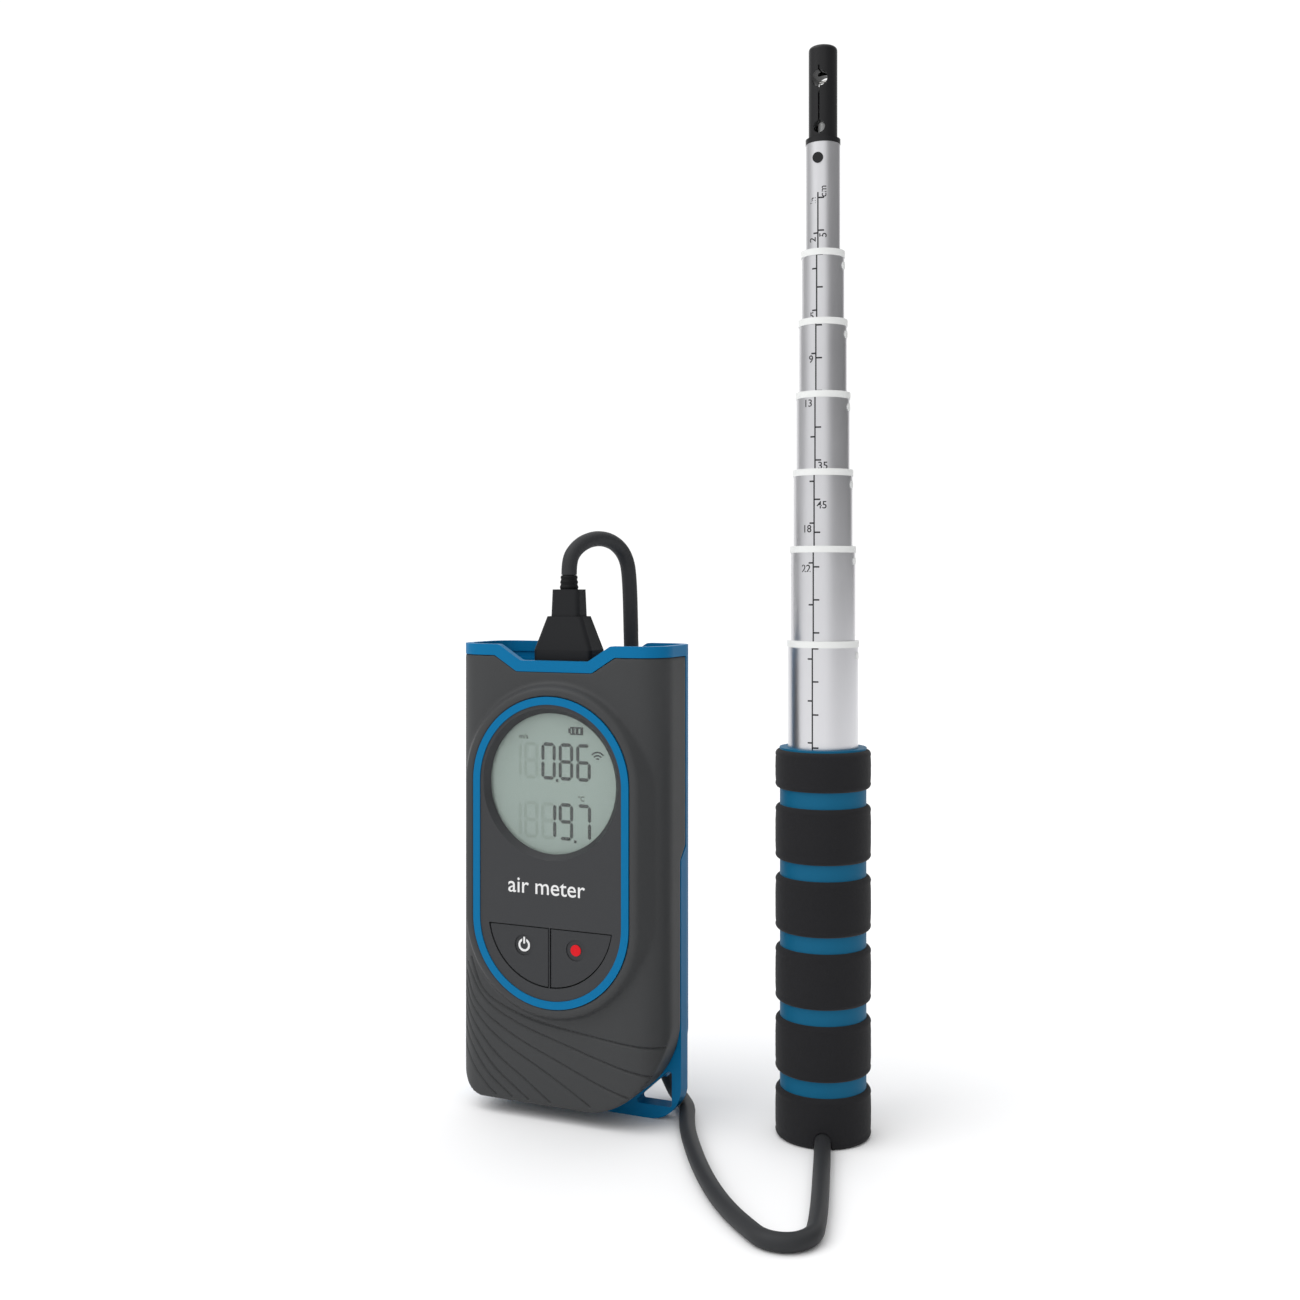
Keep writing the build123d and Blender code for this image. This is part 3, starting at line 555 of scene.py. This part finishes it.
def make_display():
    """What the display shows: two rows of digits, the signs, the unlit segments and the units."""
    place = Vector((LCD.x, LCD_FRONT, LCD.z))
    lit = row_of_digits([("0", -1.9), ("8", 4.25), ("6", 10.4)], ROW_1)
    lit += row_of_digits([("1", -1.7), ("9", 4.25), ("7", 10.5)], ROW_2)
    lit += [decimal_point(0.7, ROW_1), decimal_point(7.1, ROW_2)]
    lit += battery_sign(8.0, 16.8)
    lit += radio_sign(15.3, 9.2)
    plates("display_segments", lit, place, SEGMENT, "base")
    unlit = row_of_digits([("1", -14.0), ("8", -8.1)], ROW_1)
    unlit += row_of_digits([("1", -14.0), ("8", -8.1), ("8", -1.9)], ROW_2)
    deeper = place + Vector((0, UNLIT_BEHIND, 0))
    plates("display_unlit_segments", unlit, deeper, GHOST, "base")
    units = [("m/s", 2.3, -10.8, 14.4), ("°C", 2.2, 9.6, -4.4)]
    letters_on_plane("display_units", units, place, SEGMENT, "base", 0.03)


def make_panel_words():
    """Plain words below the display."""
    place = Vector((CASE.x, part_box("front_panel")[0].y, 0))
    words = [("air meter", 7.2, -1.2, 74.6)]
    letters_on_plane("panel_lettering", words, place, WHITE, "base", 0.035)


make_display()
make_panel_words()


# ---- scale printed on the tubes -----------------------------------------------------------------
SCALE_TOPS = [669.0, 554.8, 441.8, 330.0, 218.8, 109.3, 22.9]   # mm from the sensor at each tube's top
INCH = 25.4
SCALE_LABELS = {
    "tube_5": [("5", 127.0, -1)],
    "tube_4": [("9", 228.6, -1)],
    "tube_3": [("13", 330.9, -1), ("35", 350.0, 1)],
    "tube_2": [("45", 450.0, 1), ("18", 457.2, -1)],
    "tube_1": [("22", 558.8, -1)],
}
TURNED_LABELS = [                         # on the top tube: text, size, side, mm below the tube's top
    ("cm", 3.0, 1, 15.2), ("in", 3.0, -1, 17.8), ("5", 3.2, 1, 28.6), ("2", 3.2, -1, 29.8),
]
LABEL_SIZE = 3.2                          # this and what follows in mm
LABEL_DROP = 1.8                          # from a mark down to the middle of its number
LABEL_NEAR = 1.6                          # from the line to the middle of a number of one digit
LABEL_FAR = 2.4                           # and of two digits
TURNED_AWAY = 1.7
LABEL_WEIGHT = 0.03
LINE_HALF = 0.22
MARK_HALF = 0.24
PRINT_PROUD = 0.015
FOOT_CLEAR = 6.0                          # unprinted foot of a tube, inside the tube below
END_CLEAR = 0.2
HEAD_CLEAR = 15.4                         # unprinted top of the top tube


def wrap(radius, u, z):
    """A point u mm round from the front of a tube of that radius, in mm, at a height in mm."""
    turn = u / radius
    return (WAND.x + radius * math.sin(turn) * MM, WAND.y - radius * math.cos(turn) * MM, z * MM)


def strip_on_tube(verts, faces, radius, u0, u1, z0, z1):
    """A printed rectangle that follows the tube."""
    steps = max(1, int(abs(u1 - u0) / 0.35))
    start = len(verts)
    for i in range(steps + 1):
        u = u0 + (u1 - u0) * i / steps
        verts += [wrap(radius, u, z0), wrap(radius, u, z1)]
    faces += [(k, k + 2, k + 3, k + 1) for k in range(start, start + 2 * steps, 2)]


def add_letters(verts, faces, places, polygons):
    start = len(verts)
    verts += places
    faces += [tuple(start + i for i in polygon) for polygon in polygons]


def print_marks(verts, faces, radius, sides, spacing, count, at_top, top, foot, end):
    """The first so many multiples of a spacing from the sensor, as far as they lie between two heights."""
    first = math.ceil(at_top / spacing)
    for k in range(first, first + count):
        z = top - (k * spacing - at_top)
        if foot < z < end + 0.1:
            strip_on_tube(verts, faces, radius, *sides, z - MARK_HALF, z + MARK_HALF)


def print_scale(index, node):
    """The upright line on a tube, its centimetre and half-inch marks, and its numbers."""
    low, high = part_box(node)
    radius = (high.x - low.x) / 2 / MM + PRINT_PROUD
    top, foot = high.z / MM - END_CLEAR, low.z / MM + FOOT_CLEAR
    if index == 0:
        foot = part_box("handle_core")[1].z / MM
    at_top = SCALE_TOPS[index]
    verts, faces = [], []
    end = top - (HEAD_CLEAR if index == 6 else END_CLEAR)
    strip_on_tube(verts, faces, radius, -LINE_HALF, LINE_HALF, foot, end)
    print_marks(verts, faces, radius, (0.1, 1.9), 10, 13, at_top, top, foot, end)
    print_marks(verts, faces, radius, (-1.5, -0.1), INCH / 2, 10, at_top, top, foot, end)
    for text, mark, side in SCALE_LABELS.get(node, []):
        across = side * (LABEL_NEAR if len(text) == 1 else LABEL_FAR)
        height = top - (mark - at_top) - LABEL_DROP
        flat, polygons = lettering(text, LABEL_SIZE, across, height, LABEL_WEIGHT)
        add_letters(verts, faces, [wrap(radius, u, v) for u, v in flat], polygons)
    for text, size, side, drop in TURNED_LABELS if index == 6 else []:
        flat, polygons = lettering(text, size, 0, 0, LABEL_WEIGHT)
        places = [wrap(radius, side * TURNED_AWAY - v, top - drop + u) for u, v in flat]
        add_letters(verts, faces, places, polygons)
    body = "base" if index == 0 else f"stage_{index}"
    add_mesh(f"scale_{node}", verts, faces, PRINT, body)


for i, node in enumerate(TUBES):
    print_scale(i, node)


# ---- front shell, with the grooves that fan over its foot ---------------------------------------
SHELL_GRAIN = 0.55 * MM                   # mesh size of the moulded shell
GROOVE_REACH = 1.0 * MM
GROOVE_DEPTH = 0.60 * MM
GROOVE_HALF = 0.33 * MM
GROOVE_BACK = 22 * MM                     # a groove ends where the shell is further back than this
GROOVES = [                               # mm from the case middle, and up: start, way points, end
    [(-30.5, 49.0), (-26.0, 40.2), (-18.9, 35.4), (-5.5, 31.4), (16.0, 28.6), (36.5, 26.6)],
    [(-32.5, 47.0), (-24.8, 36.4), (-12.7, 30.0), (4.4, 25.0), (20.0, 20.8), (33.4, 18.0)],
    [(-33.2, 44.0), (-27.8, 34.6), (-14.9, 26.2), (2.3, 19.2), (16.0, 14.0), (25.8, 11.2)],
    [(-33.8, 41.0), (-29.6, 33.0), (-18.9, 23.9), (-0.6, 14.4), (12.7, 7.0)],
    [(-34.2, 37.5), (-30.4, 29.8), (-20.8, 19.6), (-9.8, 12.2), (-1.3, 6.3)],
    [(-34.4, 33.0), (-30.2, 25.2), (-21.9, 15.6), (-14.6, 10.0), (-9.1, 6.3)],
    [(-34.6, 28.0), (-30.7, 21.5), (-23.7, 13.0), (-14.9, 6.3)],
    [(-34.6, 22.0), (-30.4, 15.6), (-25.0, 9.8), (-20.8, 6.4)],
]


def through(points, per_span):
    """A smooth line through a few points."""
    line = [Vector(p) for p in points]
    line = [2 * line[0] - line[1]] + line + [2 * line[-1] - line[-2]]
    out = []
    for a, b, c, d in zip(line, line[1:], line[2:], line[3:]):
        for i in range(per_span):
            t = i / per_span
            out.append(0.5 * (2 * b + (c - a) * t + (2 * a - 5 * b + 4 * c - d) * t ** 2
                              + (3 * b - a - 3 * c + d) * t ** 3))
    return out + [line[-2]]


def groove_points(tree):
    """Close points along every groove, on the shell's outer face."""
    found = []
    for groove in GROOVES:
        for p in through(groove, 70):
            start = Vector((CASE.x + p.x * MM, RING_FRONT - 20 * MM, p.y * MM))
            hit = tree.ray_cast(start, Vector((0, 1, 0)))[0]
            if hit is not None and hit.y < RING_FRONT + GROOVE_BACK:
                found.append(hit)
    points = KDTree(len(found))
    for i, place in enumerate(found):
        points.insert(place, i)
    points.balance()
    return points


def make_grooved_shell():
    """The front shell with soft moulded edges and a fan of fine grooves in its lower front."""
    data = nodes["front_shell"].data.copy()
    shell = bpy.data.objects.new("grooved_front_shell", data)
    bpy.context.scene.collection.objects.link(shell)
    even = shell.modifiers.new("even", "REMESH")
    even.mode = "VOXEL"
    even.voxel_size = SHELL_GRAIN
    soft = shell.modifiers.new("soft", "SMOOTH")
    soft.factor = 0.5
    soft.iterations = 7
    shell.data = applied_mesh(shell)
    shell.modifiers.clear()
    shape = bmesh.new()
    shape.from_mesh(shell.data)
    points = groove_points(BVHTree.FromBMesh(shape))
    near = {v for v in shape.verts if points.find(v.co)[2] < GROOVE_REACH}
    edges = [e for e in shape.edges if e.verts[0] in near and e.verts[1] in near]
    bmesh.ops.subdivide_edges(shape, edges=edges, cuts=2, use_grid_fill=True)
    shape.normal_update()
    shifts = []
    for v in shape.verts:
        away = points.find(v.co)[2]
        if away < GROOVE_REACH:
            shifts.append((v, -GROOVE_DEPTH * math.exp(-(away / GROOVE_HALF) ** 2) * v.normal))
    for v, shift in shifts:
        v.co += shift
    shape.to_mesh(shell.data)
    shape.free()
    smooth(shell.data, 50)
    paint(shell, SHELL)
    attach(shell, "base")
    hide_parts("front_shell")


make_grooved_shell()


# ---- floor and light ----------------------------------------------------------------------------
FLOOR = 4.0                               # half of the floor's side, in metres


def make_floor():
    data = bpy.data.meshes.new("floor")
    corners = [(-FLOOR, -FLOOR, 0), (FLOOR, -FLOOR, 0), (FLOOR, FLOOR, 0), (-FLOOR, FLOOR, 0)]
    data.from_pydata(corners, [], [(0, 1, 2, 3)])
    floor = bpy.data.objects.new("floor", data)
    bpy.context.scene.collection.objects.link(floor)
    paint(floor, material("floor_white", (0.93, 0.93, 0.935), 0.8, grain=30.0, mottle=0.004, specular=0.1))


def add_sun(name, direction, power, spread):
    data = bpy.data.lights.new(name, "SUN")
    data.energy = power
    data.angle = math.radians(spread)
    light = bpy.data.objects.new(name, data)
    light.rotation_euler = Vector(direction).to_track_quat("-Z", "Y").to_euler()
    bpy.context.scene.collection.objects.link(light)


def add_towards(tree, direction, start, end, low, high):
    """How far a direction of sight turns towards a given direction, mapped to a range."""
    place = tree.nodes.new("ShaderNodeTexCoord")
    dot = tree.nodes.new("ShaderNodeVectorMath")
    dot.operation = "DOT_PRODUCT"
    dot.inputs[1].default_value = direction
    tree.links.new(place.outputs["Generated"], dot.inputs[0])
    ramp = tree.nodes.new("ShaderNodeMapRange")
    ramp.interpolation_type = "SMOOTHSTEP"
    ramp.inputs["From Min"].default_value = start
    ramp.inputs["From Max"].default_value = end
    ramp.inputs["To Min"].default_value = low
    ramp.inputs["To Max"].default_value = high
    tree.links.new(dot.outputs["Value"], ramp.inputs["Value"])
    return ramp.outputs["Result"]


def make_studio():
    """Studio walls: white behind, grey to the left, dark to the right, bright overhead."""
    world = bpy.data.worlds.new("studio")
    world.use_nodes = True
    tree = world.node_tree
    backdrop = add_towards(tree, (-0.407, 0.914, 0.0), 0.62, 0.84, 0.0, 1.05)
    right = add_towards(tree, (0.97, 0.25, 0.0), 0.10, 0.75, 0.0, -0.66)
    left = add_towards(tree, (-0.95, 0.30, 0.0), 0.45, 0.95, 0.0, -0.40)
    overhead = add_towards(tree, (0.0, 0.0, 1.0), -0.1, 0.9, 0.80, 1.35)
    total = overhead
    for part in (right, left):
        add = tree.nodes.new("ShaderNodeMath")
        add.operation = "ADD"
        tree.links.new(total, add.inputs[0])
        tree.links.new(part, add.inputs[1])
        total = add.outputs["Value"]
    most = tree.nodes.new("ShaderNodeMath")
    most.operation = "MAXIMUM"
    tree.links.new(total, most.inputs[0])
    tree.links.new(backdrop, most.inputs[1])
    tree.links.new(most.outputs["Value"], tree.nodes["Background"].inputs["Strength"])
    tree.nodes["Background"].inputs["Color"].default_value = (1, 1, 1, 1)
    bpy.context.scene.world = world
    bpy.context.scene.view_settings.view_transform = "Standard"


make_floor()
add_sun("key", (0.50, 0.50, -0.9), 0.9, 50)
make_studio()
